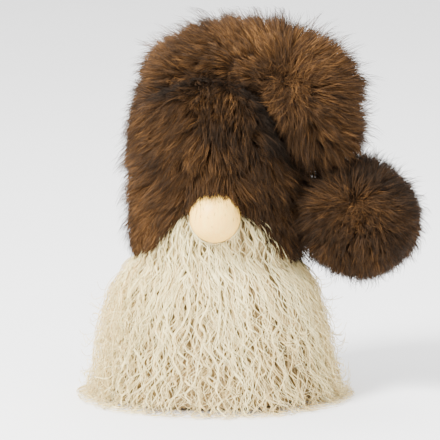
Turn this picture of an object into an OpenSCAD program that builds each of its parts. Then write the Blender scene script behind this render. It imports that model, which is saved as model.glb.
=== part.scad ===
// Tomte gnome figurine. A weighted felt body carries a long curly beard, a wooden ball nose and a
// stuffed fur hat. The hat's tail folds over to the right, and a fur pom-pom hangs from its tip on
// a thread link. Millimetres; +Z is up, the front faces -Y and the origin is the centre of the base.

/* [Body] */
// Radius of the felt base and of the body's foot
base_r = 56; // [55:0.5:58]
// Radius of the body at the hat's brim
waist_r = 42; // [41:0.5:42]
// Radius of the body below its rounded top
neck_r = 40; // [38:0.5:40]
// Height of the body's rounded top
body_top_z = 172; // [170:1:174]
// Thickness of the felt
felt_t = 2; // [1.5:0.25:2.5]
// Radius of the weight bag
bag_r = 50; // [42:1:51]
// Height of the weight bag below its tied neck
bag_h = 32; // [26:1:40]

/* [Beard] */
// Angle that the beard covers round the front of the body
beard_angle = 250; // [220:5:270]
// Radius of the beard where it meets the ground
beard_foot_r = 88; // [82:1:90]
// Thickness of the woven backing that the beard's hair grows from
backing_t = 1.2; // [0.8:0.1:1.2]

/* [Nose] */
// Radius of the wooden ball
nose_r = 17.5; // [16:0.5:18]
// Height of the ball's centre
nose_z = 135; // [133:0.5:136]
// Radius of the dowel that holds the ball
dowel_r = 3; // [2.5:0.5:3.5]

/* [Hat] */
// Outer radius of the hat's wall
hat_r = 52; // [51.5:0.25:53]
// Height at which the wall turns into the dome
shoulder_z = 188; // [186:1:190]
// Height of the dome above the shoulder
dome_h = 48; // [46:1:50]
// Height of the brim at the back
brim_z = 102; // [100:1:106]
// How far the brim rises over the nose at the front
brim_rise = 53; // [52:1:56]
// Thickness of the fur cloth with its pile pressed down
fur_t = 5; // [4.5:0.25:5]

/* [Tail and pom-pom] */
// Radius of the pom-pom
pompom_r = 34; // [30:1:35]
// Centre of the pom-pom
pompom_at = [101.5, -16, 127];
// Lean of the thread link from upright, in degrees
link_lean = 18; // [15:1:19]
// Distance between the eyes of the thread link
link_len = 7; // [6:0.5:8]

/* [Hidden] */
$fn = 96;

gap = 0.2;                      // air between pieces that lie against each other
base_t = 2;                     // thickness of the base felt, and of the board above it
waist_z = 105;
neck_z = 156;

bag_floor_z = 2 * base_t + gap;
bag_t = 1;
bag_neck_r = 4;
tie_r = 0.9;

thread_r = 0.5;
stitch_len = 4;
stitch_pitch = 7;

backing_foot_z = 8;
backing_top_z = 156;
hair_foot_z = 1.5;
hair_top_z = 150;
backing_in = gap;               // both measured out from the body's felt
hair_in = 2 * gap + backing_t;

nose_y = -57;
nose_flat_y = -43.9;            // the flat at the back of the ball rests on the beard's backing
nose_room = 0.7;
washer_r = 9;
washer_t = 2;
washer_y = -37;

brim_half_angle = 36;
hem_t = 0.8;
hem_h = 12;
dome_power = 2.6;
wall_rows = 5;
dome_rows = 12;
hat_sides = 60;

// The tail's middle line from its root to its tip, each with the tail's radius there
tail_stations = [
    [-16, -2, 220, 27.5], [6, -5, 229.5, 27.5], [28, -10, 231, 26], [44, -14, 227.5, 25],
    [59, -17, 218, 28], [68, -18, 206, 26.5], [72.5, -18.5, 196, 22.5], [78, -17.5, 187, 18.5]
];
tail_steps = 3;
tail_sides = 28;
tip_squash = 0.75;
mouth_r = 5;                    // the gathered mouths of the tail and the pom-pom
hat_air = 2;                    // between the crown's fur cloth and its stuffing
seat_gap = 2.2;                 // room round the tail in its seat on the hat

eye_r = 1.05;
bar_r = 1;
eye_out_r = 2;
eye_w = 2.4;
post_r = 0.9;
post_off = 2.6;
knot_r = 1.6;
loop_len = 8;
pompom_loop_len = 8.8;
pompom_bar_up = 38.3;           // from the pom-pom's centre to its loop's bar

function reversed(v) = [for (i = [len(v) - 1:-1:0]) v[i]];
function unit(v) = v / norm(v);
function mix(a, b, t) = a + (b - a) * t;
// A point at angle a from the front, counted towards +X
function around(r, a, z) = [r * sin(a), -r * cos(a), z];

// Outline of the body as radius and height, offset outwards by d, from the height foot up
function body_side_r(z, d) = d + (z < waist_z
    ? mix(base_r, waist_r, (z - base_t) / (waist_z - base_t))
    : mix(waist_r, neck_r, (z - waist_z) / (neck_z - waist_z)));
function body_dome(d) = [for (t = [10:10:90])
    [(neck_r + d) * cos(t), neck_z + (body_top_z - neck_z + d) * sin(t)]];
function body_outline(d, foot) = concat(
    [[body_side_r(foot, d), foot], [waist_r + d, waist_z], [neck_r + d, neck_z]], body_dome(d));

function bag_belly(d) = [for (t = [-90:10:80])
    [(bag_r - d) * pow(cos(t), 0.5),
     bag_floor_z + bag_h / 2 + (bag_h / 2 - d) * sign(t) * pow(abs(sin(t)), 0.8)]];
function bag_neck(d) = [for (p = [[0, 1], [0, 5], [2, 8]])
    [bag_neck_r - d + p[0], bag_floor_z + bag_h + p[1]]];

// Height of the hat's brim at angle a from the front
function brim_at(a) = brim_z + brim_rise / (1 + pow(abs(a > 180 ? a - 360 : a) / brim_half_angle, 3));

// Points through the stations p, as a Catmull-Rom curve
function curve_point(p, i, t) = let (
    a = p[max(i - 1, 0)], b = p[i], c = p[min(i + 1, len(p) - 1)], d = p[min(i + 2, len(p) - 1)])
    (2 * b + (c - a) * t + (2 * a - 5 * b + 4 * c - d) * t * t
     + (3 * b - a - 3 * c + d) * t * t * t) / 2;
function curve(p, steps) = concat(
    [for (i = [0:len(p) - 2]) for (s = [0:steps - 1]) curve_point(p, i, s / steps)],
    [p[len(p) - 1]]);
tail_path = curve(tail_stations, tail_steps);
function centre(s) = [s[0], s[1], s[2]];
function heading(p, i) = unit(centre(p[min(i + 1, len(p) - 1)]) - centre(p[max(i - 1, 0)]));

// A ring of radius r round the point at, square to the direction t
function ring(at, t, r) = let (u = unit(cross([0, 1, 0], t)), w = cross(t, u))
    [for (j = [0:tail_sides - 1]) let (a = 360 * j / tail_sides) at + r * (u * cos(a) - w * sin(a))];
// Rings of the tail, d inside its outer face, with a round root and a tip that ends in its mouth
function tail_rings(d, mouth) = let (
    p = tail_path,
    last = len(p) - 1,
    root_t = heading(p, 0),
    tip_t = heading(p, last),
    root_r = p[0][3] - d,
    tip_r = p[last][3] - d,
    open = acos(mouth / tip_r))
    concat(
        [for (t = [75:-15:15]) ring(centre(p[0]) - root_t * root_r * sin(t), root_t, root_r * cos(t))],
        [for (i = [0:last]) ring(centre(p[i]), heading(p, i), p[i][3] - d)],
        [for (k = [1:5]) let (t = open * k / 5)
            ring(centre(p[last]) + tip_t * tip_r * tip_squash * sin(t), tip_t, tip_r * cos(t))]);
function tail_pole(d) = centre(tail_path[0]) - heading(tail_path, 0) * (tail_path[0][3] - d);
tip_dir = heading(tail_path, len(tail_path) - 1);
tip_at = centre(tail_path[len(tail_path) - 1]);
tip_r = tail_path[len(tail_path) - 1][3];
mouth_up = tip_r * tip_squash * sin(acos(mouth_r / tip_r));

// Height of the tail's underside over the point p, lowered by room
function underside(p, room) = min([for (b = tail_path) let (
    r = b[3] + room,
    off = norm([p[0] - b[0], p[1] - b[1]]))
    off < r ? b[2] - sqrt(r * r - off * off) : p[2]]);
function seated(p, room) = [p[0], p[1], min(p[2], underside(p, room))];

// Rows of the hat's surface, d inside its outer face, from the height foot(a) up to the pole
function hat_wall(d) = [for (row = [0:wall_rows - 1]) [for (j = [0:hat_sides - 1])
    let (a = 360 * j / hat_sides)
    seated(around(hat_r - d, a, mix(brim_at(a), shoulder_z, row / wall_rows)), seat_gap + d)]];
function hat_dome(d) = [for (row = [0:dome_rows - 1]) [for (j = [0:hat_sides - 1])
    let (a = 360 * j / hat_sides, t = 90 * row / dome_rows)
    seated(around((hat_r - d) * pow(cos(t), 2 / dome_power), a,
                  shoulder_z + (dome_h - d) * pow(sin(t), 2 / dome_power)), seat_gap + d)]];
function hat_pole(d) = seated([0, 0, shoulder_z + dome_h - d], seat_gap + d);
function hat_ring(r, z) = [for (j = [0:hat_sides - 1]) around(r, 360 * j / hat_sides, z)];

// A closed skin over rings of points, from one end point to the other
module skin(first, rings, last) {
    n = len(rings[0]);
    m = len(rings);
    points = concat([first], [for (r = rings) each r], [last]);
    function at(i, j) = 1 + i * n + j % n;
    polyhedron(points, concat(
        [for (j = [0:n - 1]) [0, at(0, j + 1), at(0, j)]],
        [for (i = [0:m - 2]) for (j = [0:n - 1]) each [
            [at(i, j), at(i, j + 1), at(i + 1, j + 1)], [at(i, j), at(i + 1, j + 1), at(i + 1, j)]]],
        [for (j = [0:n - 1]) [1 + m * n, at(m - 1, j), at(m - 1, j + 1)]]));
}

// A closed band over rings of points, whose last ring joins its first
module band(rings) {
    n = len(rings[0]);
    m = len(rings);
    function at(i, j) = (i % m) * n + j % n;
    polyhedron([for (r = rings) each r], [for (i = [0:m - 1]) for (j = [0:n - 1]) each [
        [at(i, j), at(i, j + 1), at(i + 1, j + 1)], [at(i, j), at(i + 1, j + 1), at(i + 1, j)]]]);
}

// Sweeps an outline round the front of the body, over the beard's angle
module beard_sweep() {
    rotate([0, 0, -90 - beard_angle / 2]) rotate_extrude(angle = beard_angle) children();
}

// A bar of radius r along -Y from the depth y1 to the depth y2, at the nose's height
module nose_bar(r, y1, y2) {
    translate([0, y2, nose_z]) rotate([90, 0, 0]) cylinder(r = r, h = y2 - y1);
}

// A thread stitch: a short rod along Z with round ends
module stitch(len) {
    cylinder(r = thread_r, h = len, center = true, $fn = 16);
}

// A ring of round thread about Z
module thread_ring(r, thread) {
    rotate_extrude() translate([r, 0]) circle(r = thread, $fn = 24);
}

// A loop of thread below the plane z = 0: a bar along Y on two posts that end in knots
module thread_loop(len) {
    rotate([90, 0, 0]) cylinder(r = bar_r, h = 2 * post_off, center = true, $fn = 32);
    for (side = [-1, 1]) translate([0, side * post_off, 0]) {
        sphere(r = bar_r, $fn = 32);
        cylinder(r = post_r, h = len, $fn = 32);
        translate([0, 0, len]) sphere(r = knot_r, $fn = 32);
    }
}

// Puts a shape in the pom-pom's frame, with Z from the pom-pom's centre up its thread link
module at_pompom() {
    translate(pompom_at) rotate([0, -link_lean, 0]) children();
}

module base_felt() {
    color("saddlebrown") cylinder(r = base_r, h = base_t);
}

module base_board() {
    color("burlywood") translate([0, 0, base_t])
        cylinder(r = body_side_r(2 * base_t, -felt_t - gap), h = base_t);
}

module weight_bag() {
    color("antiquewhite") rotate_extrude()
        polygon(concat(bag_belly(0), bag_neck(0), reversed(bag_neck(bag_t)), reversed(bag_belly(bag_t))));
}

module weight_tie() {
    color("firebrick") translate([0, 0, bag_floor_z + bag_h + 3])
        thread_ring(bag_neck_r + tie_r + 0.05, tie_r);
}

module weight_sand() {
    belly = bag_belly(bag_t + 0.1);
    color("tan") rotate_extrude() polygon(concat(belly, [[0, belly[len(belly) - 1][1]]]));
}

module body_cover() {
    color("dimgray") difference() {
        rotate_extrude()
            polygon(concat(body_outline(0, base_t), reversed(body_outline(-felt_t, base_t))));
        nose_bar(dowel_r + 0.1, -60, -20);
    }
}

module body_stuffing() {
    bag = concat([for (p = bag_belly(-gap)) if (p[1] >= bag_floor_z) p], bag_neck(-gap - 2 * tie_r));
    neck = bag[len(bag) - 1];
    color("white") difference() {
        rotate_extrude()
            polygon(concat(body_outline(-felt_t - gap, bag_floor_z), [[0, neck[1] + gap]],
                           [[neck[0], neck[1] + gap]], reversed(bag)));
        nose_bar(dowel_r + 0.1, -60, -20);
        nose_bar(washer_r + gap, -60, washer_y + washer_t + gap);
    }
}

module back_seam_thread() {
    slope = atan((base_r - waist_r) / (waist_z - base_t));
    color("black") for (z = [12:stitch_pitch:92])
        translate([0, body_side_r(z, thread_r + 0.1), z])
            rotate([slope, 0, 0]) rotate([0, 25, 0]) stitch(stitch_len);
}

module beard_backing() {
    inner = [for (z = [backing_foot_z, waist_z, backing_top_z]) [body_side_r(z, backing_in), z]];
    outer = [for (p = reversed(inner)) [p[0] + backing_t, p[1]]];
    color("wheat") difference() {
        beard_sweep() polygon(concat(inner, outer));
        nose_bar(dowel_r + 0.1, -60, -20);
    }
}

module beard_thread() {
    z = (hair_top_z + backing_top_z) / 2;
    r = body_side_r(z, backing_in + backing_t + thread_r + 0.1);
    color("beige") for (a = [24:8:beard_angle / 2 - 5]) for (side = [-1, 1])
        translate(around(r, side * a, z)) stitch(stitch_len);
}

module beard_hair() {
    inner = [for (z = [backing_foot_z + 1, waist_z, hair_top_z]) [body_side_r(z, hair_in), z]];
    under_hat_r = hat_r - fur_t - hem_t - 2 * gap;
    outer = [
        [under_hat_r, hair_top_z], [under_hat_r, brim_z], [mix(under_hat_r, beard_foot_r, 0.24), 95],
        [mix(under_hat_r, beard_foot_r, 0.48), 80], [mix(under_hat_r, beard_foot_r, 0.67), 55],
        [mix(under_hat_r, beard_foot_r, 0.84), 30], [beard_foot_r, 5], [beard_foot_r - 2, hair_foot_z]
    ];
    foot = [[base_r + 2, hair_foot_z]];
    color("cornsilk") difference() {
        beard_sweep() polygon(concat(inner, outer, foot));
        translate([0, nose_y, nose_z]) sphere(r = nose_r + nose_room);
    }
}

module nose_ball() {
    flat_h = nose_flat_y - nose_y;
    side = [for (t = [acos(flat_h / nose_r):3:177]) nose_r * [sin(t), cos(t)]];
    bore_r = dowel_r + 0.05;
    color("navajowhite") translate([0, nose_y, nose_z]) rotate([-90, 0, 0]) rotate_extrude()
        polygon(concat([[0, 0], [bore_r, 0], [bore_r, flat_h]], side, [[0, -nose_r]]));
}

module nose_dowel() {
    color("peru") nose_bar(dowel_r, nose_y + 1, washer_y + washer_t + 8);
}

module nose_washer() {
    color("sandybrown") difference() {
        nose_bar(washer_r, washer_y, washer_y + washer_t);
        nose_bar(dowel_r + 0.05, washer_y - 1, washer_y + washer_t + 1);
    }
}

module hat_hem() {
    rows = [[fur_t + gap, 0.5], [fur_t + gap, hem_h], [fur_t + gap + hem_t, hem_h], [fur_t + gap + hem_t, 0.5]];
    color("sienna") band([for (row = reversed(rows)) [for (j = [0:hat_sides - 1])
        let (a = 360 * j / hat_sides) around(hat_r - row[0], a, brim_at(a) + row[1])]]);
}

module hem_thread() {
    half = 180 - beard_angle / 2 - 8;
    len = hat_r - fur_t - hem_t - 2 * gap - waist_r - 0.2;
    r = waist_r + 0.1 + len / 2;
    color("black") for (a = [180 - half:half / 4:180 + half])
        translate(around(r, a, brim_at(a) + 7)) rotate([90, 0, a]) stitch(len);
}

module hat_crown_fur() {
    color("saddlebrown") skin(
        hat_pole(0),
        concat(reversed(hat_dome(0)), reversed(hat_wall(0)), hat_wall(fur_t), hat_dome(fur_t)),
        hat_pole(fur_t));
}

module hat_stuffing() {
    d = fur_t + hat_air;
    skirt_r = hat_r - fur_t - hem_t - 3 * gap;
    skirt_z = neck_z + 1;
    wall_z = body_top_z + 2;
    dome = [for (p = body_dome(2 * gap)) if (p[1] > skirt_z && p[0] > 1) hat_ring(p[0], p[1])];
    color("ivory") skin(
        hat_pole(d),
        concat(reversed(hat_dome(d)), [hat_ring(hat_r - d, wall_z), hat_ring(skirt_r, wall_z - 1),
                                       hat_ring(skirt_r, skirt_z), hat_ring(neck_r + 2 * gap, skirt_z)],
               dome),
        [0, 0, body_top_z + 2 * gap]);
}

module tail_fur() {
    color("sienna") skin(
        tail_pole(0), concat(tail_rings(0, mouth_r), reversed(tail_rings(fur_t, mouth_r))), tail_pole(fur_t));
}

module tail_stuffing() {
    d = fur_t + gap;
    rings = tail_rings(d, mouth_r);
    end = rings[len(rings) - 1];
    color("ivory") skin(tail_pole(d), rings, (end[0] + end[tail_sides / 2]) / 2);
}

module tail_gather_thread() {
    color("black") translate(tip_at + tip_dir * (mouth_up + 1))
        rotate([0, acos(tip_dir[2]), atan2(tip_dir[1], tip_dir[0])]) thread_ring(mouth_r - 0.3, 0.6);
}

module tail_loop() {
    color("black") at_pompom() translate([0, 0, pompom_bar_up + link_len]) thread_loop(loop_len);
}

module pompom_link() {
    color("black") at_pompom() translate([0, 0, pompom_bar_up]) {
        difference() {
            rotate([0, 90, 0]) cylinder(r = eye_out_r, h = eye_w, center = true, $fn = 48);
            rotate([0, 90, 0]) cylinder(r = eye_r, h = eye_w + 1, center = true, $fn = 48);
        }
        translate([0, 0, eye_out_r - 0.3])
            cylinder(r = post_r, h = link_len - 2 * eye_out_r + 0.6, $fn = 32);
        translate([0, 0, link_len]) difference() {
            rotate([90, 0, 0]) cylinder(r = eye_out_r, h = eye_w, center = true, $fn = 48);
            rotate([90, 0, 0]) cylinder(r = eye_r, h = eye_w + 1, center = true, $fn = 48);
        }
    }
}

module pompom_fur() {
    outer = [for (t = [asin(mouth_r / pompom_r), for (k = [1:17]) 10 * k + 5, 180])
        pompom_r * [sin(t), cos(t)]];
    inner_r = pompom_r - fur_t;
    inner = [for (t = [asin(mouth_r / inner_r), for (k = [1:17]) 10 * k + 5, 180])
        inner_r * [sin(t), cos(t)]];
    color("saddlebrown") at_pompom() rotate_extrude() polygon(concat(outer, reversed(inner)));
}

module pompom_stuffing() {
    r = pompom_r - fur_t - gap - 0.5;
    color("ivory") at_pompom() difference() {
        sphere(r = r);
        translate([0, 0, r - 2]) cylinder(r = r, h = r);
    }
}

module pompom_gather_thread() {
    color("black") at_pompom() translate([0, 0, pompom_r + 0.2]) thread_ring(mouth_r - 0.3, 0.6);
}

module pompom_loop() {
    color("black") at_pompom() translate([0, 0, pompom_bar_up])
        rotate([0, 180, 90]) thread_loop(pompom_loop_len);
}

base_felt();
base_board();
weight_bag();
weight_tie();
weight_sand();
body_cover();
body_stuffing();
back_seam_thread();
beard_backing();
beard_thread();
beard_hair();
nose_ball();
nose_dowel();
nose_washer();
hat_hem();
hem_thread();
hat_crown_fur();
hat_stuffing();
tail_fur();
tail_stuffing();
tail_gather_thread();
tail_loop();
pompom_link();
pompom_fur();
pompom_stuffing();
pompom_gather_thread();
pompom_loop();
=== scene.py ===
"""Looks of the tomte gnome figurine.

Its fur, beard, felt, wood and thread, on a pale floor in soft light. Lengths are in metres.
"""

import math

import bpy
import numpy as np
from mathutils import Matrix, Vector
from mathutils.bvhtree import BVHTree
from mathutils.kdtree import KDTree


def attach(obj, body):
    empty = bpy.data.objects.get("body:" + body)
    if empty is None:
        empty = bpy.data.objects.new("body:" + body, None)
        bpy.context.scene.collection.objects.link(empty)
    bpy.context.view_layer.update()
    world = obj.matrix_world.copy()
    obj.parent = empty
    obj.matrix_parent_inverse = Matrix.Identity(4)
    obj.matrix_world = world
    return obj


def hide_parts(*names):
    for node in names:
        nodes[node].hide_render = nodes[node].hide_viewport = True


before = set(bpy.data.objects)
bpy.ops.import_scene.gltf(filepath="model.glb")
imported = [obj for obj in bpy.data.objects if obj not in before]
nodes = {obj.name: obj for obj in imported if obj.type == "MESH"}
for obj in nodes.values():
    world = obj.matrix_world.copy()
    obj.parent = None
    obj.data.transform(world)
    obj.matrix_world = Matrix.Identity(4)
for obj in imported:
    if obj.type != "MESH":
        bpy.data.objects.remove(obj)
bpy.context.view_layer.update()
MM = 0.001

NOSE = np.array([0, -57, 135]) * MM
NOSE_R = 17.5 * MM
# The fur lies away from these points
CROWN_WHORL = np.array([8, -30, 238]) * MM
TAIL_WHORL = np.array([49, -40, 226]) * MM
# No hair of the hat's fur passes these, and no guard hair grows behind GUARD_BACK: both keep the fur
# inside these bounds. Both keep the fur inside the size limits
FUR_LIMIT = np.array([151.5, 69.5, 273.5]) * MM
GUARD_BACK = 30 * MM
HAIRS_PER_PIECE = 12000
# The beard hangs round the front of the body, this far to each side
BEARD_HALF = math.radians(125)
BEARD_TOP = 149 * MM
# Beyond BEARD_SPREAD from the axis its hair is held back more and more, and it ends within BEARD_FRINGE
BEARD_SPREAD = 84 * MM
BEARD_FRINGE = 15 * MM
# Its hair lies no lower than this
FLOOR_Z = 1.2 * MM


# ---------------------------------------------------------------- numbers


def unit(v):
    """v with length 1."""
    return v / np.maximum(np.linalg.norm(v, axis=-1, keepdims=True), 1e-12)


def dot(a, b):
    """The dot products of rows of a and b, as a column."""
    return (a * b).sum(-1, keepdims=True)


def smooth(x, low, high):
    """0 where x is below low, 1 where it is above high, and an even curve between them."""
    t = np.clip((x - low) / (high - low), 0, 1)
    return t * t * (3 - 2 * t)


def noise(p, width, seed):
    """Smooth noise at the points p, mostly from -1 to 1, with features of that width in metres."""
    r = np.random.default_rng(seed)
    total = 0
    for _ in range(7):
        k = unit(r.normal(size=3)) * math.pi / width * (0.6 + 0.9 * r.random())
        total = total + np.sin(p @ k + r.random() * 2 * math.pi)
    return total / 2.6


def turned(v, axis, angle):
    """v, square to axis, turned round it."""
    return v * np.cos(angle)[:, None] + np.cross(axis, v) * np.sin(angle)[:, None]


# ---------------------------------------------------------------- meshes


def mesh_object(name, points, quads=(), tris=(), uv=None, material=None):
    """A smooth mesh object from points, four-sided and three-sided faces and a UV pair for each point."""
    quads = np.asarray(quads, np.int32).reshape(-1, 4)
    tris = np.asarray(tris, np.int32).reshape(-1, 3)
    corners = np.concatenate([quads.ravel(), tris.ravel()])
    starts = np.concatenate([np.arange(len(quads)) * 4, len(quads) * 4 + np.arange(len(tris)) * 3])
    mesh = bpy.data.meshes.new(name)
    mesh.vertices.add(len(points))
    mesh.vertices.foreach_set("co", np.asarray(points, np.float32).ravel())
    mesh.loops.add(len(corners))
    mesh.loops.foreach_set("vertex_index", corners)
    mesh.polygons.add(len(starts))
    mesh.polygons.foreach_set("loop_start", starts.astype(np.int32))
    mesh.polygons.foreach_set("use_smooth", np.ones(len(starts), bool))
    if uv is not None:
        layer = mesh.uv_layers.new(name="OFBake")
        layer.uv.foreach_set("vector", np.asarray(uv, np.float32)[corners].ravel())
    mesh.update(calc_edges=True)
    o = bpy.data.objects.new(name, mesh)
    bpy.context.collection.objects.link(o)
    if material:
        mesh.materials.append(material)
    return o


def strands(name, lines, radius, side, tone, material):
    """Closed tubes round the lines (n, k, 3), of radius (n, k), each ending in a point. tone is their U."""
    sides = 3
    n, k, _ = lines.shape
    along = unit(np.gradient(lines, axis=1))
    u = unit(side[:, None, :] - dot(side[:, None, :], along) * along)
    w = np.cross(along, u)
    turn = 2 * math.pi * np.arange(sides) / sides
    rings = lines[:, :-1, None, :] + radius[:, :-1, None, None] * (
        np.cos(turn)[:, None] * u[:, :-1, None, :] + np.sin(turn)[:, None] * w[:, :-1, None, :]
    )
    points = np.concatenate([rings.reshape(n, sides * (k - 1), 3), lines[:, -1:]], axis=1)
    v = np.append(np.repeat(np.arange(k - 1) / (k - 1), sides), 1) * 0.998 + 0.001
    across = np.append(np.tile(np.arange(sides) - 1, k - 1), 0) * 0.002
    uv = np.stack([tone[:, None] + across[None], np.broadcast_to(v, (n, len(v)))], axis=-1)
    j, j1 = np.arange(sides), (np.arange(sides) + 1) % sides
    quads = np.concatenate(
        [np.stack([j, j1, j1 + sides, j + sides], axis=1) + sides * i for i in range(k - 2)]
    )
    last = sides * (k - 2)
    tris = np.concatenate(
        [np.stack([last + j, last + j1, np.full(sides, last + sides)], axis=1), [[0, 2, 1]]]
    )
    first = (np.arange(n) * (sides * (k - 1) + 1))[:, None, None]
    return mesh_object(
        name, points.reshape(-1, 3), (quads + first).reshape(-1, 4), (tris + first).reshape(-1, 3),
        uv.reshape(-1, 2), material,
    )


def lathe(profile, turns):
    """Rings of points round Z, one for each (r, z) of the profile."""
    a = 2 * math.pi * np.arange(turns) / turns
    r, z = np.asarray(profile, float).T[:, :, None]
    return np.stack([r * np.sin(a), -r * np.cos(a), np.repeat(z, turns, 1)], axis=-1)


def grid_faces(rows, columns, wrap=True):
    """The four-sided faces of a grid of points. With wrap, its last column meets its first."""
    i, j = np.meshgrid(np.arange(rows - 1), np.arange(columns if wrap else columns - 1), indexing="ij")
    i, j = i.ravel(), j.ravel()
    k = (j + 1) % columns
    this, above = i * columns, (i + 1) * columns
    return np.stack([this + j, this + k, above + k, above + j], axis=1)


def end_caps(rows, turns):
    """Triangles that close a lathe's first and last ring round two more points, one for each."""
    j = np.arange(turns)
    k = (j + 1) % turns
    last = (rows - 1) * turns
    middle = np.full(turns, rows * turns)
    first_cap = np.stack([k, j, middle], axis=1)
    last_cap = np.stack([last + j, last + k, middle + 1], axis=1)
    return np.concatenate([first_cap, last_cap])


def corner_cross(points, tri):
    """Each triangle's normal, twice its area long."""
    return np.cross(points[tri[:, 1]] - points[tri[:, 0]], points[tri[:, 2]] - points[tri[:, 0]])


def normals_of(points, tri):
    """A smooth normal for each point."""
    face = corner_cross(points, tri)
    normal = np.zeros_like(points)
    for c in range(3):
        np.add.at(normal, tri[:, c], face)
    return unit(normal)


def surface(node):
    """A CAD node's outer skin as welded points, triangles and smooth normals."""
    mesh = nodes[node].data
    mesh.calc_loop_triangles()
    co = np.empty(len(mesh.vertices) * 3, np.float32)
    mesh.vertices.foreach_get("co", co)
    tri = np.empty(len(mesh.loop_triangles) * 3, np.int32)
    mesh.loop_triangles.foreach_get("vertices", tri)
    points, welded = np.unique(np.round(co.reshape(-1, 3).astype(float), 6), axis=0, return_inverse=True)
    tri = welded.reshape(-1)[tri].reshape(-1, 3)
    tri = tri[np.linalg.norm(corner_cross(points, tri), axis=1) > 1e-12]
    return points, tri, normals_of(points, tri)


def distance(points, node):
    """How far each point is from a CAD node's surface."""
    co, tri, _ = surface(node)
    tree = BVHTree.FromPolygons(co.tolist(), tri.tolist())
    return np.array([tree.find_nearest(p)[3] for p in points.tolist()])


def scatter(points, tri, normal, per_mm2, r):
    """Roots spread evenly over the triangles, with their normals."""
    a, b, c = points[tri[:, 0]], points[tri[:, 1]], points[tri[:, 2]]
    area = np.linalg.norm(np.cross(b - a, c - a), axis=1) / 2
    count = int(area.sum() / MM**2 * per_mm2)
    pick = r.choice(len(tri), count, p=area / area.sum())
    u, v = r.random(count), r.random(count)
    over = u + v > 1
    u[over], v[over] = 1 - u[over], 1 - v[over]
    w = np.stack([1 - u - v, u, v], axis=1)[..., None]
    return (points[tri[pick]] * w).sum(1), unit((normal[tri[pick]] * w).sum(1))


# ---------------------------------------------------------------- materials


def new_material(name, **sockets):
    """A material with its nodes, links and shader, whose sockets are set by name."""
    m = bpy.data.materials.new(name)
    m.use_nodes = True
    shader = m.node_tree.nodes["Principled BSDF"]
    for k, v in sockets.items():
        shader.inputs[k.replace("_", " ")].default_value = v
    return m, m.node_tree.nodes, m.node_tree.links, shader


def ramp(tree_nodes, stops, interpolation="LINEAR"):
    """A colour ramp with a colour at each of the stops."""
    r = tree_nodes.new("ShaderNodeValToRGB")
    r.color_ramp.interpolation = interpolation
    elements = r.color_ramp.elements
    while len(elements) < len(stops):
        elements.new(0.5)
    for e, (at, colour) in zip(elements, stops):
        e.position = at
        e.color = (*colour, 1)
    return r


def math_node(tree, operation, a, b=None):
    """The result of an operation on one or two values, each a number or another node's output."""
    n = tree.nodes.new("ShaderNodeMath")
    n.operation = operation
    for socket, x in zip(n.inputs, (a, b)):
        if isinstance(x, (int, float)):
            socket.default_value = x
        elif x is not None:
            tree.links.new(x, socket)
    return n.outputs[0]


def hair_material(name, stops, painted_root_shade, tip, tip_from, **sockets):
    """Hair whose U holds its tone and whose V runs from root to tip.

    Each half of U holds every tone, and in its upper half the tips are dark. Towards the roots the colour
    darkens: painted shade.
    """
    m, n, links, shader = new_material(name, **sockets)
    uv = n.new("ShaderNodeUVMap")
    uv.uv_map = "OFBake"
    split = n.new("ShaderNodeSeparateXYZ")
    links.new(uv.outputs[0], split.inputs[0])
    doubled = math_node(m.node_tree, "MULTIPLY", split.outputs[0], 2.0)
    tone = math_node(m.node_tree, "FRACT", doubled)
    dark = math_node(m.node_tree, "GREATER_THAN", split.outputs[0], 0.5)
    colour = ramp(n, stops)
    links.new(tone, colour.inputs[0])
    # Painted shade: along V the colour darkens from the tips to the roots
    shade = ramp(n, [(at, (x,) * 3) for at, x in painted_root_shade])
    links.new(split.outputs[1], shade.inputs[0])
    shaded = n.new("ShaderNodeMix")
    shaded.data_type, shaded.blend_type = "RGBA", "MULTIPLY"
    shaded.inputs[0].default_value = 1
    links.new(colour.outputs[0], shaded.inputs["A"])
    links.new(shade.outputs[0], shaded.inputs["B"])
    tips = ramp(n, [(tip_from, (0, 0, 0)), (0.95, (1, 1, 1))], "EASE")
    links.new(split.outputs[1], tips.inputs[0])
    share = math_node(m.node_tree, "MULTIPLY", tips.outputs[0], dark)
    final = n.new("ShaderNodeMix")
    final.data_type = "RGBA"
    links.new(share, final.inputs[0])
    links.new(shaded.outputs["Result"], final.inputs["A"])
    final.inputs["B"].default_value = (*tip, 1)
    links.new(final.outputs["Result"], shader.inputs["Base Color"])
    return m


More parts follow.
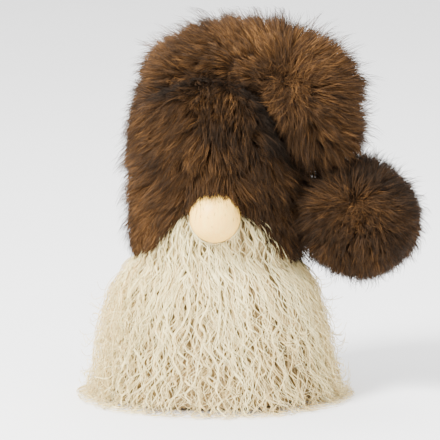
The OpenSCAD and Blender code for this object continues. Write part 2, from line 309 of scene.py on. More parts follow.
def textured(
    name, colours, scale, bump=0.3, depth=0.0002, stretch=(1, 1, 1), weave=0, grain=0.15, **sockets
):
    """Mottled colour with a fine grain and, where weave is set, crossing threads 2 / weave metres apart."""
    m, n, links, shader = new_material(name, **sockets)
    where = n.new("ShaderNodeTexCoord")
    place = n.new("ShaderNodeMapping")
    place.inputs["Scale"].default_value = stretch
    links.new(where.outputs["Object"], place.inputs["Vector"])
    spots = n.new("ShaderNodeTexNoise")
    spots.inputs["Scale"].default_value = scale
    spots.inputs["Detail"].default_value = 6
    links.new(place.outputs[0], spots.inputs["Vector"])
    colour = ramp(n, [(0.3, colours[0]), (0.7, colours[1])])
    links.new(spots.outputs["Fac"], colour.inputs[0])
    links.new(colour.outputs[0], shader.inputs["Base Color"])
    height = spots.outputs["Fac"]
    if weave:
        threads = []
        for direction in ("X", "Z"):
            wave = n.new("ShaderNodeTexWave")
            wave.bands_direction = direction
            wave.inputs["Scale"].default_value = weave / 20 * math.pi
            wave.inputs["Distortion"].default_value = 0.6
            links.new(where.outputs["Object"], wave.inputs["Vector"])
            threads.append(wave.outputs["Fac"])
        height = math_node(m.node_tree, "ADD", *threads)
    rough = n.new("ShaderNodeMapRange")
    base = sockets.get("Roughness", 0.8)
    rough.inputs["To Min"].default_value = base - grain
    rough.inputs["To Max"].default_value = min(1, base + grain)
    links.new(spots.outputs["Fac"], rough.inputs["Value"])
    links.new(rough.outputs[0], shader.inputs["Roughness"])
    bumps = n.new("ShaderNodeBump")
    bumps.inputs["Strength"].default_value = bump
    bumps.inputs["Distance"].default_value = depth
    links.new(height, bumps.inputs["Height"])
    links.new(bumps.outputs[0], shader.inputs["Normal"])
    return m


# The hairs' colours, from their darkest tone to their lightest
FUR_STOPS = [
    (0.0, (0.009, 0.005, 0.002)),
    (0.25, (0.030, 0.015, 0.006)),
    (0.5, (0.098, 0.046, 0.016)),
    (0.75, (0.255, 0.115, 0.034)),
    (1.0, (0.520, 0.270, 0.090)),
]
# The beard's darker stops are painted shade, taken by the mat and the lower locks
BEARD_STOPS = [
    (0.0, (0.170, 0.105, 0.045)),
    (0.35, (0.430, 0.300, 0.130)),
    (0.7, (0.820, 0.620, 0.270)),
    (1.0, (1.000, 0.880, 0.470)),
]
FUR = hair_material(
    "hat_fur",
    FUR_STOPS,
    # Painted shade, darkest at the roots
    [(0, 0.2), (0.5, 0.65), (1, 1)],
    (0.010, 0.006, 0.003),
    0.45,
    Roughness=0.6,
    Specular_IOR_Level=0.12,
)
BEARD = hair_material(
    "beard_hair",
    BEARD_STOPS,
    # Painted shade, darker at the roots
    [(0, 0.62), (0.3, 0.95), (1, 1)],
    (0.70, 0.56, 0.30),
    0.7,
    Roughness=0.6,
    Specular_IOR_Level=0.25,
)
# The fur's backing, made near black as painted shade in the gaps between the hairs
SKIN = textured(
    "fur_backing",
    [(0.012, 0.006, 0.003), (0.032, 0.016, 0.007)],
    220,
    depth=0.0006,
    Roughness=0.9,
    Specular_IOR_Level=0.05,
)
# The fleece's tan is darker than the hair, as painted shade in the recesses between the locks
FLEECE = textured(
    "beard_fleece", [(0.30, 0.20, 0.09), (0.52, 0.37, 0.18)], 260, 0.8, 0.0012, (1, 1, 0.25), Roughness=0.9
)
FELT = textured(
    "felt",
    [(0.030, 0.015, 0.007), (0.075, 0.040, 0.019)],
    700,
    0.6,
    0.0004,
    Roughness=0.92,
    Sheen_Weight=0.1,
    Specular_IOR_Level=0.1,
)
WOOD = textured(
    "birch",
    [(1.0, 0.55, 0.09), (1.0, 0.65, 0.14)],
    90,
    0.12,
    0.0001,
    (6, 6, 0.8),
    grain=0.06,
    Roughness=0.5,
)
DOWEL = textured(
    "birch_dowel", [(0.55, 0.38, 0.22), (0.70, 0.52, 0.33)], 260, 0.3, 0.0001, (1, 0.1, 1), Roughness=0.6
)
BOARD = textured("board", [(0.24, 0.16, 0.09), (0.36, 0.25, 0.15)], 900, 0.3, 0.0001, Roughness=0.8)
COTTON = textured(
    "cotton", [(0.62, 0.57, 0.47), (0.74, 0.69, 0.58)], 300, 0.6, 0.0003, weave=900, Roughness=0.9
)
SAND = textured("sand", [(0.28, 0.20, 0.12), (0.52, 0.40, 0.26)], 1500, 0.8, 0.0006, Roughness=0.85)
STUFFING = textured(
    "stuffing", [(0.72, 0.71, 0.68), (0.86, 0.85, 0.82)], 180, 0.9, 0.0015, Roughness=0.95
)
BACKING = textured(
    "backing", [(0.50, 0.42, 0.29), (0.64, 0.55, 0.40)], 300, 0.7, 0.0003, weave=800, Roughness=0.9
)
DARK_THREAD = textured(
    "dark_thread",
    [(0.012, 0.008, 0.006), (0.035, 0.024, 0.018)],
    600,
    0.8,
    0.0003,
    (1, 1, 3),
    Roughness=0.7,
)
CREAM_THREAD = textured(
    "cream_thread",
    [(0.55, 0.46, 0.32), (0.72, 0.63, 0.47)],
    600,
    0.8,
    0.0003,
    (1, 1, 3),
    Roughness=0.75,
)
HEM = textured(
    "hat_hem", [(0.030, 0.018, 0.012), (0.060, 0.036, 0.024)], 500, 0.6, 0.0003, weave=900, Roughness=0.9
)


def placed(o, body, slot, *stands_for):
    """Puts a piece on its body, and in place of the CAD nodes it stands for. Its slot is not used."""
    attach(o, body)
    if stands_for:
        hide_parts(*stands_for)


# ---------------------------------------------------------------- fur


def clumped(lines, every, pull, power, r):
    """The lines, each drawn towards the nearest of a few of them, and which of those each one follows.

    One in every so many is followed. The pull is 0 at the roots and greatest at the tips.
    """
    guides = r.choice(len(lines), max(1, len(lines) // every), replace=False)
    tree = KDTree(len(guides))
    for i, p in enumerate(lines[guides, 1].tolist()):
        tree.insert(p, i)
    tree.balance()
    owner = guides[[tree.find(p)[1] for p in lines[:, 1].tolist()]]
    w = (pull * np.linspace(0, 1, lines.shape[1]) ** power)[None, :, None]
    return lines * (1 - w) + lines[owner] * w, owner


def fur_lines(root, normal, flow, length, lift):
    """Lines of four points from 1 mm under the skin, which rise from it at the angle lift and bend down."""
    steps = 4
    s = (np.arange(steps - 1) + 0.5) / (steps - 1)
    angle = lift[:, None] * (1.1 - 0.75 * s)
    step = np.cos(angle)[..., None] * flow[:, None] + np.sin(angle)[..., None] * normal[:, None]
    path = np.cumsum(step * (length / (steps - 1))[:, None, None], axis=1)
    start = (root - normal * MM)[:, None]
    return np.concatenate([start, start + path], axis=1)


def off_the_nose(lines, room):
    """The lines with every point that would lie in the nose moved out to its surface."""
    off = lines - NOSE
    far = np.linalg.norm(off, axis=-1, keepdims=True)
    return np.where(far < NOSE_R + room, NOSE + off * (NOSE_R + room) / np.maximum(far, 1e-9), lines)


def grow_fur(name, root, normal, flow, length, lift, tone, seed, mess=0, dark_tips=0.45, guards=0.11):
    """Fur as separate hairs drawn a little into tufts, in pieces of a workable size.

    mess is how far the hairs stray from the flow, over what they do anywhere. dark_tips and guards are the
    shares of hairs with dark tips and of longer guard hairs.
    """
    r = np.random.default_rng(seed)
    n = len(root)
    flow = unit(flow - dot(flow, normal) * normal)
    swirl = 0.4 * noise(root, 0.022, seed + 1) + 0.28 * noise(root, 0.009, seed + 3)
    swirl = swirl + r.normal(0, 0.36 + mess, n)
    flow = turned(flow, normal, swirl)
    guard = r.random(n) < guards
    guard = guard & (root[:, 1] < GUARD_BACK)
    length = length * r.uniform(0.65, 1.15, n) * np.where(guard, 1.65, 1)
    lines = fur_lines(root, normal, flow, length, lift + r.normal(0, 0.2, n) + 0.2 * guard)
    lines, lock = clumped(lines, 200, 0.22, 1.2, r)
    lines, tuft = clumped(lines, 13, 0.5, 1.3, r)
    by_lock, by_tuft = r.normal(0, 0.03, n), r.normal(0, 0.035, n)
    tone = tone + 0.065 * noise(root, 0.020, seed + 2) + 0.04 * noise(root, 0.050, seed + 4)
    tone = tone + by_lock[lock] + by_tuft[tuft] + r.normal(0, 0.11, n)
    dark = np.where(guard, 0.5, (r.random(n) < dark_tips) * 0.5)
    u = np.clip(tone, 0.02, 0.97) / 2 + dark
    width = np.where(guard, 0.17, 0.2) * MM * r.uniform(0.75, 1.2, n)
    thick = width[:, None] * np.array([1, 0.9, 0.6, 0.2])
    side = np.cross(flow, normal)
    lines = np.minimum(off_the_nose(lines, 0.5 * MM), FUR_LIMIT)
    # Each piece is one wedge of the fur, seen from above
    x, y = root[:, 0] - root[:, 0].mean(), root[:, 1] - root[:, 1].mean()
    order = np.argsort(np.arctan2(x, y), kind="stable")
    return [
        strands(f"{name}_{k + 1}", lines[part], thick[part], side[part], u[part], FUR)
        for k, part in enumerate(np.array_split(order, math.ceil(n / HAIRS_PER_PIECE)))
    ]


def fur_cloth(node, name, hair, body, slot):
    """A fur cloth in place of its CAD node: its hair and its backing.

    The backing is the node's welded surface, moved in a little and roughened.
    """
    points, tri, normal = surface(node)
    sunk = 0.4 * MM
    points = points - normal * sunk + normal * (0.35 * MM * noise(points, 0.012, 5))[:, None]
    skin = mesh_object(name, points, tris=tri, material=SKIN)
    for o in (skin, *hair):
        placed(o, body, slot)
    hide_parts(node)


def crown():
    """The hat's crown, whose fur is short in the crease where the tail lies against it, and darkened along
    it as painted shade.
    """
    r = np.random.default_rng(21)
    points, tri, normal = surface("hat_crown_fur")
    centre = points[tri].mean(1)
    out = (corner_cross(points, tri) * (centre - np.array([-5, 0, 150]) * MM)).sum(1) > 0
    root, n = scatter(points, tri[out], normal, 1.6, r)
    x, y, z = root.T
    far_left = smooth(-x, 32 * MM, 46 * MM)
    near = distance(root, "tail_fur")
    seat = 1 - smooth(near, 2.4 * MM, 3.2 * MM)
    left = smooth(-x, -15 * MM, 10 * MM)
    free = np.maximum(smooth(near, 4 * MM, (14 - 3 * left) * MM), 0.75 * far_left)
    brim = smooth(16 * MM - (z - brim_height(np.arctan2(x, -y))), 0, 16 * MM)
    by_pompom = smooth(x, 36 * MM, 50 * MM) * smooth(175 * MM - z, 0, 15 * MM)
    flow = unit(root - CROWN_WHORL) + np.array([0, 0, -0.35])
    over_nose = smooth(18 * MM - np.abs(x), 0, 6 * MM) * smooth(170 * MM - z, 0, 8 * MM) * (y < 0)
    flow = flow + over_nose[:, None] * np.array([0, 0, -1.5])
    corner = brim * smooth(-x, 30 * MM, 48 * MM)
    length = (5 + 4 * seat + 12.5 * free + 3.5 * by_pompom + 2 * brim + 8 * over_nose - 8 * corner) * MM
    lift = 0.4 + 0.5 * free + 0.2 * by_pompom - 0.2 * brim + 0.5 * corner
    lift = lift + over_nose * (1.15 - lift)
    # Painted shade along the tail: the fur near it is darkened in a band, wide on the right, narrow on the
    # left and fainter at the far left
    right = smooth(x, 8 * MM, 34 * MM)
    wide, narrow = smooth(24 * MM - near, 0, 13 * MM), smooth(12 * MM - near, 0, 5 * MM)
    crease = (wide * right + narrow * (1 - right)) * (1 - 0.8 * far_left)
    # Painted light and shade: lighter on the left, where the key lamp falls, and darker on the right by the
    # pom-pom
    tone = 0.42 + 0.12 * smooth(-x, -10 * MM, 50 * MM) - 0.06 * smooth(x, 15 * MM, 50 * MM)
    # Painted shade: darkened where the fur is not free and in the crease band, less so in the seat under
    # the tail
    tone = tone - 0.42 * np.maximum(1 - free, 0.9 * crease) * (1 - 0.75 * seat)
    # Painted shade too: beside the tail more of the hairs get dark tips
    beside = np.maximum(smooth(30 * MM - near, 0, 14 * MM) * right, smooth(12 * MM - near, 0, 6 * MM))
    tips = 0.45 + 0.5 * beside
    fur = grow_fur("crown_fur", root, n, flow, length, lift, tone, 31, dark_tips=tips)
    fur_cloth("hat_crown_fur", "crown_backing", fur, "figure", "hat_fur")


def tail():
    """The hat's tail, whose fur is short where it lies on the crown and darkened near it as painted shade.
    """
    r = np.random.default_rng(22)
    points, tri, normal = surface("tail_fur")
    out = distance(points[tri].mean(1), "tail_stuffing") > 3 * MM
    root, n = scatter(points, tri[out], normal, 1.7, r)
    x, z = root[:, 0], root[:, 2]
    near = distance(root, "hat_crown_fur")
    seat = 1 - smooth(near, 2.4 * MM, 3.2 * MM)
    free = np.maximum(smooth(near, 4 * MM, 12 * MM), 0.8 * smooth(-x, 24 * MM, 38 * MM))
    # Nearer the crown than this, the fur is darkened as painted shade
    lit = smooth(near, 1.5 * MM, 6 * MM)
    off = root - TAIL_WHORL
    whorl = smooth(24 * MM - np.linalg.norm(off, axis=1), 0, 18 * MM)
    flow = unit(off) + np.array([0, 0, -0.15])
    low = smooth(205 * MM - z, 0, 20 * MM)
    inner = low * smooth(78 * MM - x, 0, 20 * MM)
    shoulder = smooth(n @ unit(np.array([0.8, 0, 0.6])), 0.6, 0.95) * smooth(z, 205 * MM, 222 * MM)
    top = smooth(n[:, 2], 0.7, 0.95)
    length = (5 + 3 * seat + 12.5 * free + 4 * inner + 2 * low + 4 * shoulder + 2 * top) * MM
    lift = 0.55 + 0.4 * free - 0.45 * whorl + 0.3 * shoulder
    # Painted shade near the crown, less in the seat; painted light towards the top and painted shade low
    # down
    tone = 0.41 - 0.36 * (1 - lit) * (1 - 0.7 * seat) + 0.08 * smooth(z, 220 * MM, 250 * MM) - 0.03 * low
    tone = tone + 0.07 * smooth(x, 62 * MM, 92 * MM)
    fur = grow_fur("tail_fur_hair", root, n, flow, length, lift, tone, 41, whorl, 0.4)
    fur_cloth("tail_fur", "tail_backing", fur, "hat_tail", "tail_fur")


def pompom():
    """The pom-pom, whose fur lies away from its front."""
    r = np.random.default_rng(23)
    points, tri, normal = surface("pompom_fur")
    out = distance(points[tri].mean(1), "pompom_stuffing") > 3 * MM
    root, n = scatter(points, tri[out], normal, 1.8, r)
    front = unit(np.array([0.1, -0.95, 0.1]))
    facing = dot(n, front)
    flow = -(front - facing * n) + np.array([0.3, 0, -0.55])
    corner = smooth(dot(n, unit(np.array([-1, 0, 1.0])))[:, 0], 0.25, 0.85)
    beside = smooth(-n[:, 0], 0.3, 0.9)
    high = smooth(n[:, 2], 0.25, 0.95)
    whorl = smooth(n @ unit(np.array([-0.12, -0.93, 0.33])), 0.88, 0.99)
    # Painted shade on the top under the tail and on the side by the crown; painted light at the whorl
    # offsets the shade among its upright hairs
    tone = 0.37 - 0.1 * high - 0.06 * beside + 0.1 * whorl
    length = (15 + 6 * corner + 2.5 * beside + high) * MM
    lift, mess = 0.95 - 0.3 * whorl, 0.3 + 0.6 * whorl
    fur = grow_fur("pompom_hair", root, n, flow, length, lift, tone, 51, mess, 0.5)
    fur_cloth("pompom_fur", "pompom_backing", fur, "pompom", "pompom_fur")


# ---------------------------------------------------------------- beard

# The beard's outer radius by height
OUTLINE_Z = np.array([1.5, 5, 30, 55, 80, 95, 102, 150]) * MM
OUTLINE_R = np.array([78, 78, 74, 70.5, 64, 55.9, 45.8, 45.8]) * MM


def body_radius(z):
    """The body's outer radius at the height z."""
    return np.interp(z, np.array([0, 2, 105, 156]) * MM, np.array([56, 56, 42, 40]) * MM)


def brim_height(a):
    """The height of the hat's brim at the angle a, which is 0 at the front and highest there."""
    return (102 + 53 / (1 + np.abs(np.degrees(a) / 36) ** 3)) * MM


def beard_lines(r, a, top, low, layer, steps, wave, width, sway, hook, group=None):
    """Lines that hang from the backing at the angle a and the height top, out to their layer, down to low.

    wave and width are the size and length of their waves, sway is their sideways lean and hook the size of
    their curled ends. Lines of one group wave together.
    """
    n = len(a)
    s = np.linspace(0, 1, steps)[None]
    z = top[:, None] + (low - top)[:, None] * s
    drop = top[:, None] - z
    inner = body_radius(z) + 2 * MM
    out = np.interp(z, OUTLINE_Z, OUTLINE_R) + MM
    out = np.maximum(out, 46.8 * MM + 8 * MM * smooth(brim_height(a)[:, None] - z, 0, 18 * MM))
    reach = np.maximum(out - inner, 0.5 * MM) * layer[:, None] * smooth(drop, 0, 22 * MM)
    phase, swing, shift = r.uniform(0, 2 * math.pi, (3, n, 1))
    if group is not None:
        phase = phase[group] + r.normal(0, 0.5, (n, 1))
        swing, shift = swing[group], shift[group]
    turns = 2 * math.pi * drop / width[:, None] + 1.1 * np.sin(2 * math.pi * drop / (47 * MM) + shift)
    grow = smooth(drop, 0, 14 * MM) * (0.85 + 0.4 * s) * wave[:, None]
    slow = 3.5 * MM * np.sin(2 * math.pi * drop / (62 * MM) + swing) * smooth(drop, 5 * MM, 45 * MM)
    curl = hook[:, None] * smooth(s, 0.72, 1) ** 1.4
    lean = np.diff(drop, axis=1, prepend=0) * sway[:, None] / (inner + reach)
    angle = a[:, None] + np.cumsum(lean, axis=1)
    angle = angle + (grow * np.sin(turns + phase) + slow + curl) / (inner + reach)
    # The ends of the backing hold the hair, which thins out towards them
    past = np.maximum(np.abs(angle) / BEARD_HALF - 0.9, 0)
    held = np.minimum(np.abs(angle), 0.9 * BEARD_HALF) + 0.12 * BEARD_HALF * np.tanh(past / 0.12)
    angle = np.sign(angle) * held
    edge = smooth(BEARD_HALF - np.abs(angle), -0.03, 0.5)
    # What would hang through the ground spreads out over it instead
    room = (r.uniform(2, 14, (n, 1)) + 14 * np.maximum(layer[:, None] - 1.15, 0)) * MM
    radius = inner + reach * (0.15 + 0.85 * edge) + room * np.tanh(np.maximum(FLOOR_Z - z, 0) / room)
    outwards = 0.3 + 0.5 * np.abs(np.sin(angle))
    radius = radius + 0.5 * grow * np.cos(turns + phase) + outwards * np.abs(curl)
    z = z + 0.7 * np.abs(hook[:, None]) * smooth(s, 0.84, 1) ** 1.5
    z = np.maximum(z, FLOOR_Z + 0.5 * MM * (1 + np.sin(turns + swing)))
    far = np.maximum(radius - BEARD_SPREAD, 0)
    radius = np.minimum(radius, BEARD_SPREAD) + BEARD_FRINGE * np.tanh(far / BEARD_FRINGE)
    lines = np.stack([radius * np.sin(angle), -radius * np.cos(angle), z], axis=-1)
    return off_the_nose(lines, 0.8 * MM)


def fan(a):
    """How far hair that hangs at the angle a leans to the side, outwards from the front."""
    return 0.3 * np.sin(a * math.pi / BEARD_HALF)


def beard_hairs(name, lines, thick, tone, pieces):
    """Tubes along the lines, thinner towards their ends, in that many pieces."""
    middle = unit(lines[:, lines.shape[1] // 2] * [1, 1, 0])
    side = np.cross(middle, np.broadcast_to([0.0, 0.0, 1.0], middle.shape))
    radius = thick[:, None] * np.append(np.linspace(1, 0.55, lines.shape[1] - 1), 0.2)
    return [
        strands(f"{name}_{k + 1}", lines[part], radius[part], side[part], tone[part], BEARD)
        for k, part in enumerate(np.array_split(np.arange(len(lines)), pieces))
    ]


def beard_mat(r):
    """The mat of fine hair under the locks, darker than them as painted shade."""
    n = 5000
    a = r.uniform(-1, 1, n) * BEARD_HALF * 0.985
    top = np.clip(brim_height(a) + r.uniform(-85, 14, n) * MM, 30 * MM, 148 * MM)
    low = np.maximum(top - r.uniform(60, 125, n) * MM, r.uniform(-12, 14, n) * MM)
    layer = r.uniform(0.4, 0.86, n)
    wave, width = r.uniform(1, 2.8, n) * MM, r.uniform(16, 30, n) * MM
    sway, hook = 0.5 * fan(a) + r.normal(0, 0.12, n), r.normal(0, 3, n) * MM
    lines = beard_lines(r, a, top, low, layer, 12, wave, width, sway, hook)
    lines, _ = clumped(lines, 9, 0.55, 1.0, r)
    # Painted shade: the mat is darker than the locks and darker still on the right, away from the key lamp
    right = smooth(a, -0.2, 0.9)
    tone = np.clip(0.43 - 0.22 * right + r.normal(0, 0.13, n), 0.02, 0.97) / 2
    return beard_hairs("beard_mat", lines, 0.28 * MM * r.uniform(0.8, 1.2, n), tone, 3)


def beard_locks(r):
    """The wavy locks over the mat, in bunches, each lock of several hairs that run together."""
    n, hairs, steps, bunches = 380, 5, 44, 70
    group = r.integers(0, bunches, n)
    a = r.uniform(-1, 1, bunches)[group]
    a = (0.65 * a + 0.32 * a**3) * BEARD_HALF + r.normal(0, 0.06, n)
    brim = brim_height(a)
    top = np.minimum(brim + r.uniform(4, 26, n) * MM, BEARD_TOP)
    lower = r.random(n) < 0.22
    top = np.where(lower, np.maximum(brim - r.uniform(5, 40, n) * MM, 60 * MM), top)
    low = np.where(r.random(n) < 0.5, r.uniform(-20, 5, n), r.uniform(6, 50, n)) * MM
    layer = r.uniform(0.8, 1.2, bunches)[group] + r.normal(0, 0.05, n)
    wave, width = r.uniform(1.2, 3.0, bunches)[group] * MM, r.uniform(16, 30, bunches)[group] * MM
    sway = fan(a) + r.normal(0, 0.1, bunches)[group] + r.normal(0, 0.05, n)
    hook = r.normal(0, 6.5, n) * MM
    guide = beard_lines(r, a, top, low, layer, steps, wave, width, sway, hook, group)
    s = np.linspace(0, 1, steps)[None, None, :, None]
    along = unit(np.gradient(guide, axis=1))
    u = unit(np.cross(along, np.broadcast_to([0.0, 0.0, 1.0], along.shape)))
    w = np.cross(along, u)
    turn = r.uniform(0, 2 * math.pi, (n, hairs, 1, 1)) + s * r.uniform(-4, 4, (n, hairs, 1, 1))
    spread = r.uniform(0.45, 1.2, (n, 1, 1, 1)) * (0.45 + 0.9 * np.sin(math.pi * (0.15 + 0.85 * s)))
    off = r.uniform(0.25, 0.75, (n, hairs, 1, 1)) * MM * spread
    lines = guide[:, None] + off * (np.cos(turn) * u[:, None] + np.sin(turn) * w[:, None])
    wild = r.uniform(14, 30, (n, hairs, 1, 3)), r.uniform(0, 6, (n, hairs, 1, 3))
    lines = (lines + 0.3 * MM * np.sin(s * wild[0] + wild[1])).reshape(n * hairs, steps, 3)
    lines[..., 2] = np.maximum(lines[..., 2], FLOOR_Z)
    lines = off_the_nose(lines, 0.6 * MM)
    count = n * hairs
    # Painted shade: the lower layers of locks are darker, as are the locks on the right, away from the key
    # lamp
    lock_tone = 0.40 + 0.52 * smooth(layer, 0.86, 1.05) - 0.2 * smooth(a, -0.1, 0.9)
    lock_tone = lock_tone + r.normal(0, 0.12, n) + r.normal(0, 0.11, bunches)[group]
    tone = np.clip(np.repeat(lock_tone, hairs) + r.normal(0, 0.07, count), 0.02, 0.97) / 2
    tone = tone + 0.5 * (np.repeat(r.random(n), hairs) < 0.2)
    return beard_hairs("beard_locks", lines, 0.31 * MM * r.uniform(0.75, 1.2, count), tone, 5)


def beard_strands(r):
    """Single wavy hairs that cross the locks."""
    n = 280
    a = r.uniform(-1, 1, n) * BEARD_HALF * 0.97
    top = np.minimum(brim_height(a) + r.uniform(-12, 26, n) * MM, BEARD_TOP)
    low = np.where(r.random(n) < 0.5, r.uniform(-12, 5, n), r.uniform(6, 60, n)) * MM
    layer = r.uniform(1.0, 1.25, n)
    wave, width = r.uniform(1.2, 3.0, n) * MM, r.uniform(14, 24, n) * MM
    sway, hook = fan(a) + r.normal(0, 0.18, n), r.normal(0, 7, n) * MM
    lines = beard_lines(r, a, top, low, layer, 44, wave, width, sway, hook)
    thick = 0.33 * MM * r.uniform(0.7, 1.2, n)
    return beard_hairs("beard_strands", lines, thick, np.clip(r.normal(0.93, 0.1, n), 0.4, 0.97) / 2, 2)


def beard_wisps(r):
    """Single curled wisps at the edges and along the ground."""
    n = 1050
    anywhere = r.random(n) < 0.45
    a = np.where(anywhere, r.uniform(-0.98, 0.98, n), r.choice([-1, 1], n) * r.uniform(0.5, 0.95, n))
    a = a * BEARD_HALF
    top = np.where(r.random(n) < 0.3, r.uniform(18, 40, n), r.uniform(40, 125, n)) * MM
    low = np.where(r.random(n) < 0.55, r.uniform(-26, 6, n), r.uniform(10, 80, n)) * MM
    low = np.minimum(low, top - 30 * MM)
    layer = r.uniform(1.0, 1.5, n)
    wave, width = r.uniform(1.2, 4, n) * MM, r.uniform(14, 28, n) * MM
    sway, hook = fan(a) + r.normal(0, 0.3, n), r.normal(0, 10, n) * MM
    lines = beard_lines(r, a, top, low, layer, 32, wave, width, sway, hook)
    tone = np.clip(0.76 + r.normal(0, 0.14, n), 0.02, 0.97) / 2 + 0.5 * (r.random(n) < 0.4)
    return beard_hairs("beard_wisps", lines, 0.25 * MM * r.uniform(0.8, 1.2, n), tone, 1)


def beard_fleece():
    """The fleece under the hair, a closed curved pad from the backing to a little under the locks."""
    columns, rows = 180, 40
    a, z = np.meshgrid(np.linspace(-1, 1, columns) * BEARD_HALF, np.linspace(2, 149, rows) * MM)
    out = np.interp(z, OUTLINE_Z, OUTLINE_R) - (6 + 9 * smooth(26 * MM - z, 0, 26 * MM)) * MM
    inner = np.interp(z, np.array([0, 9, 105, 156]) * MM, np.array([57, 57.2, 43.6, 41.6]) * MM)
    inner = inner + 0.2 * MM
    edge = smooth(BEARD_HALF - np.abs(a), 0, 0.6)
    grooves = noise(np.stack([a * 0.08, a * 0, z * 0.22], axis=-1), 0.007, 9) * 1.5 * MM
    outer = inner + np.maximum((out + grooves - inner), 0.8 * MM) * (0.06 + 0.94 * edge)
    # It stays thin behind the hat's fur, and clear of the nose
    outer = np.minimum(outer, np.where(z > 100 * MM, 44.6 * MM, 1))
    near = smooth(np.hypot(outer * np.sin(a), z - NOSE[2]), 16 * MM, 20 * MM)
    outer = np.minimum(outer, 43.4 * MM + near * 60 * MM)
    # The rows run up the outside, over the top and down the inside. The bottom and both ends are closed
    around = np.concatenate([outer, inner[::-1]])
    height = np.concatenate([z, z[::-1]])
    angle = np.concatenate([a, a])
    points = np.stack([around * np.sin(angle), -around * np.cos(angle), height], axis=-1)
    total = 2 * rows
    faces = grid_faces(total, columns, wrap=False)
    j = np.arange(columns - 1)
    last = (total - 1) * columns
    bottom = np.stack([last + j, last + j + 1, j + 1, j], axis=1)
    i = np.arange(rows - 1)
    end = np.stack(
        [i * columns, (i + 1) * columns, (total - 2 - i) * columns, (total - 1 - i) * columns], axis=1
    )
    other_end = (end + columns - 1)[:, ::-1]
    quads = np.concatenate([faces, bottom, end, other_end])
    return mesh_object("beard_fleece", points.reshape(-1, 3), quads, material=FLEECE)


def beard():
    """The beard, in layers from the backing outwards."""
    r = np.random.default_rng(61)
    hair = beard_mat(r) + beard_locks(r) + beard_strands(r) + beard_wisps(r)
    fleece = beard_fleece()
    for o in (*hair, fleece):
        placed(o, "figure", "beard_hair")
    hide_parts("beard_hair")


# ---------------------------------------------------------------- nose and body


def nose():
    """The turned wooden nose, a ball with a flat and a bore at the back."""
    flat = 13.1 * MM
    t = np.linspace(math.acos(flat / NOSE_R), math.pi - 0.02, 60)
    bore_and_flat = np.array([[3.05, 0], [3.05, 13.1], [4, 13.2], [8, 13.15]]) * MM
    ball = np.stack([NOSE_R * np.sin(t), NOSE_R * np.cos(t)], axis=1)
    profile = np.concatenate([bore_and_flat, ball])
    rows, turns = len(profile), 96
    rings = lathe(profile, turns).reshape(-1, 3)
    # The lathe's axis is turned to +Y, with the flat at the back
    points = np.stack([rings[:, 0], rings[:, 2], -rings[:, 1]], axis=1)
    points = np.concatenate([points, [[0, 0, 0], [0, -NOSE_R, 0]]])
    o = mesh_object("nose", points + NOSE, grid_faces(rows, turns), end_caps(rows, turns), material=WOOD)
    placed(o, "figure", "birch", "nose_ball")


def coordinates(o):
    """The points of an object's mesh."""
    co = np.empty(len(o.data.vertices) * 3, np.float32)
    o.data.vertices.foreach_get("co", co)
    return co.reshape(-1, 3).astype(float)


def move_to(o, points):
    """Moves the points of an object's mesh."""
    o.data.vertices.foreach_set("co", np.asarray(points, np.float32).ravel())
    o.data.update()


def apply_modifiers(o):
    """Makes an object's modified shape its mesh."""
    o.data = bpy.data.meshes.new_from_object(o.evaluated_get(bpy.context.evaluated_depsgraph_get()))
    o.modifiers.clear()


SWELL_FRAMES = 20


def swell(o, voxel, pressure, most):
    """Remeshes a closed cover and lets it swell in a short cloth simulation, by no more than most."""
    remesh = o.modifiers.new("remesh", "REMESH")
    remesh.mode, remesh.voxel_size = "VOXEL", voxel
    apply_modifiers(o)
    start = coordinates(o)
    cloth = o.modifiers.new("cloth", "CLOTH")
    cloth.settings.use_pressure = True
    cloth.settings.uniform_pressure_force = pressure
    cloth.settings.effector_weights.gravity = 0
    for at in range(1, SWELL_FRAMES + 1):
        bpy.context.scene.frame_set(at)
    apply_modifiers(o)
    bpy.context.scene.frame_set(1)
    move = coordinates(o) - start
    far = np.linalg.norm(move, axis=1, keepdims=True)
    move_to(o, start + move * np.minimum(1, most / np.maximum(far, 1e-9)))
    o.modifiers.new("fine", "SUBSURF").levels = 1
    apply_modifiers(o)


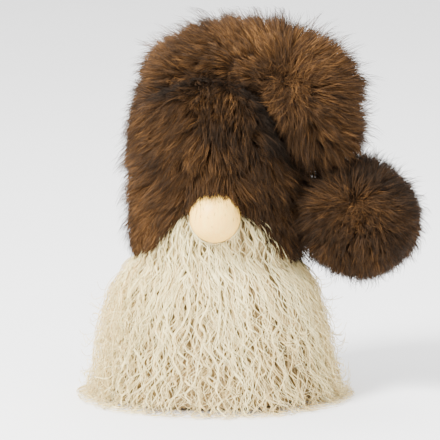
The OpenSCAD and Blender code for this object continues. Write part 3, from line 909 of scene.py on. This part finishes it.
def body():
    """The stuffed felt body, from its base to its round top under the hat, puckered along its back seam."""
    # In millimetres: the heights of its base and its shoulder, and the height and radius of the dome above
    base, shoulder, dome_high, dome_radius = -0.7, 155, 16, 39.4
    up_the_dome = shoulder + dome_high * np.sin(np.radians(np.arange(8, 88, 8)))
    z = np.concatenate([np.linspace(base, shoulder, 70), up_the_dome]) * MM
    above = (z - shoulder * MM) / (dome_high * MM)
    dome = dome_radius * MM * np.sqrt(np.clip(1 - above**2, 0, 1))
    radius = np.where(z <= shoulder * MM, body_radius(z) - 0.2 * MM, dome)
    rows, turns = len(z), 160
    rings = lathe(np.stack([radius, z], axis=1), turns).reshape(-1, 3)
    points = np.concatenate([rings, [[0, 0, base * MM], [0, 0, (shoulder + dome_high) * MM]]])
    o = mesh_object("body_felt", points, grid_faces(rows, turns), end_caps(rows, turns), material=FELT)
    swell(o, 4 * MM, 4, 1.2 * MM)

    p = coordinates(o)
    x, y, z = p.T
    a, far = np.arctan2(x, -y), np.hypot(x, y)
    back = np.abs(np.angle(np.exp(1j * (a - math.pi))))
    side = smooth(z, 4 * MM, 14 * MM) * smooth(150 * MM - z, 0, 30 * MM) * smooth(far, 20 * MM, 36 * MM)
    bulge = np.minimum(far + 0.35 * MM * side * noise(p, 0.02, 3), body_radius(z) + 0.35 * MM)
    # The seam's edge meets its stitches, whose spacing is in millimetres, and puckers up between them
    first_stitch, apart = 12, 7
    pucker = np.cos(2 * math.pi * (z / MM - first_stitch) / apart)
    seam = body_radius(z) + (0.3 - 0.18 * pucker) * MM
    pull = side * np.exp(-back * 12)
    scale = (bulge * (1 - pull) + seam * pull) / np.maximum(far, 1e-9)
    move_to(o, np.stack([x * scale, y * scale, np.maximum(z, 2.1 * MM)], axis=1))
    placed(o, "figure", "felt_brown", "body_cover")


def backing():
    """The woven backing that the beard grows from, a single sheet round the front of the body."""
    columns, rows = 120, 50
    a, z = np.meshgrid(np.linspace(-1, 1, columns) * BEARD_HALF, np.linspace(8, 156, rows) * MM)
    waves = noise(np.stack([a * 0.05, a * 0, z], axis=-1), 0.01, 4)
    radius = body_radius(z) + 0.8 * MM + 0.1 * MM * waves
    points = np.stack([radius * np.sin(a), -radius * np.cos(a), z], axis=-1).reshape(-1, 3)
    o = mesh_object("beard_cloth", points, grid_faces(rows, columns, wrap=False), material=BACKING)
    placed(o, "figure", "beard_backing", "beard_backing")


def finishes():
    """Materials of the CAD nodes that keep their shapes."""
    kept = {
        "base_felt": FELT,
        "base_board": BOARD,
        "weight_bag": COTTON,
        "weight_tie": DARK_THREAD,
        "weight_sand": SAND,
        "body_stuffing": STUFFING,
        "back_seam_thread": DARK_THREAD,
        "beard_thread": CREAM_THREAD,
        "nose_dowel": DOWEL,
        "nose_washer": DOWEL,
        "hat_hem": HEM,
        "hem_thread": DARK_THREAD,
        "hat_stuffing": STUFFING,
        "tail_stuffing": STUFFING,
        "tail_gather_thread": DARK_THREAD,
        "tail_loop": DARK_THREAD,
        "pompom_link": DARK_THREAD,
        "pompom_stuffing": STUFFING,
        "pompom_gather_thread": DARK_THREAD,
        "pompom_loop": DARK_THREAD,
    }
    for name, finish in kept.items():
        o = nodes[name]
        if not o.material_slots:
            o.data.materials.append(finish)
        for s in o.material_slots:
            s.material = finish


# ---------------------------------------------------------------- floor, light and camera


def area_light(name, at, size, power):
    """A square light of that size and power in watts, which faces the figure."""
    light = bpy.data.lights.new(name, "AREA")
    light.size, light.energy = size, power
    o = bpy.data.objects.new(name, light)
    o.location = at
    towards = Vector((0.01, -0.01, 0.13)) - Vector(at)
    o.rotation_euler = towards.to_track_quat("-Z", "Y").to_euler()
    bpy.context.collection.objects.link(o)


def stage():
    """A round pale floor, a white world, three lights and the camera."""
    pale = textured("floor", [(0.88, 0.88, 0.88), (0.90, 0.90, 0.90)], 3, 0.02, 0.0001, Roughness=0.9)
    turns = 64
    a = 2 * math.pi * np.arange(turns) / turns
    radii = np.array([0.3, 1, 3, 8])[:, None]
    rings = np.stack([radii * np.cos(a), radii * np.sin(a), 0 * radii * a], axis=-1).reshape(-1, 3)
    j = np.arange(turns)
    centre = np.stack([j, (j + 1) % turns, np.full(turns, len(rings))], axis=1)
    faces = grid_faces(len(radii), turns)[:, ::-1]
    floor = mesh_object("floor", np.concatenate([rings, [[0, 0, 0]]]), faces, centre, material=pale)

    world = bpy.data.worlds.new("studio")
    world.use_nodes = True
    background = world.node_tree.nodes["Background"]
    background.inputs["Color"].default_value = (1, 1, 1, 1)
    background.inputs["Strength"].default_value = 2.1
    bpy.context.scene.world = world

    area_light("key", (-1.1, -1.1, 1.6), 0.6, 185)
    area_light("fill", (1.3, -1.5, 0.7), 1.4, 14)
    area_light("top", (0.2, 0.9, 1.7), 1.0, 22)

    lens = bpy.data.cameras.new("camera")
    lens.lens, lens.sensor_width = 351, 36
    lens.clip_start, lens.clip_end = 0.05, 30
    camera = bpy.data.objects.new("camera", lens)
    tilt, away = math.radians(9), 3
    target = Vector((3.5 * MM, 0, 122.5 * MM / math.cos(tilt)))
    back = Vector((0, -math.cos(tilt), math.sin(tilt)))
    camera.location = target + back * away
    camera.rotation_euler = (-back).to_track_quat("-Z", "Y").to_euler()
    bpy.context.collection.objects.link(camera)
    bpy.context.scene.camera = camera


stage()
body()
backing()
beard()
nose()
crown()
tail()
pompom()
finishes()
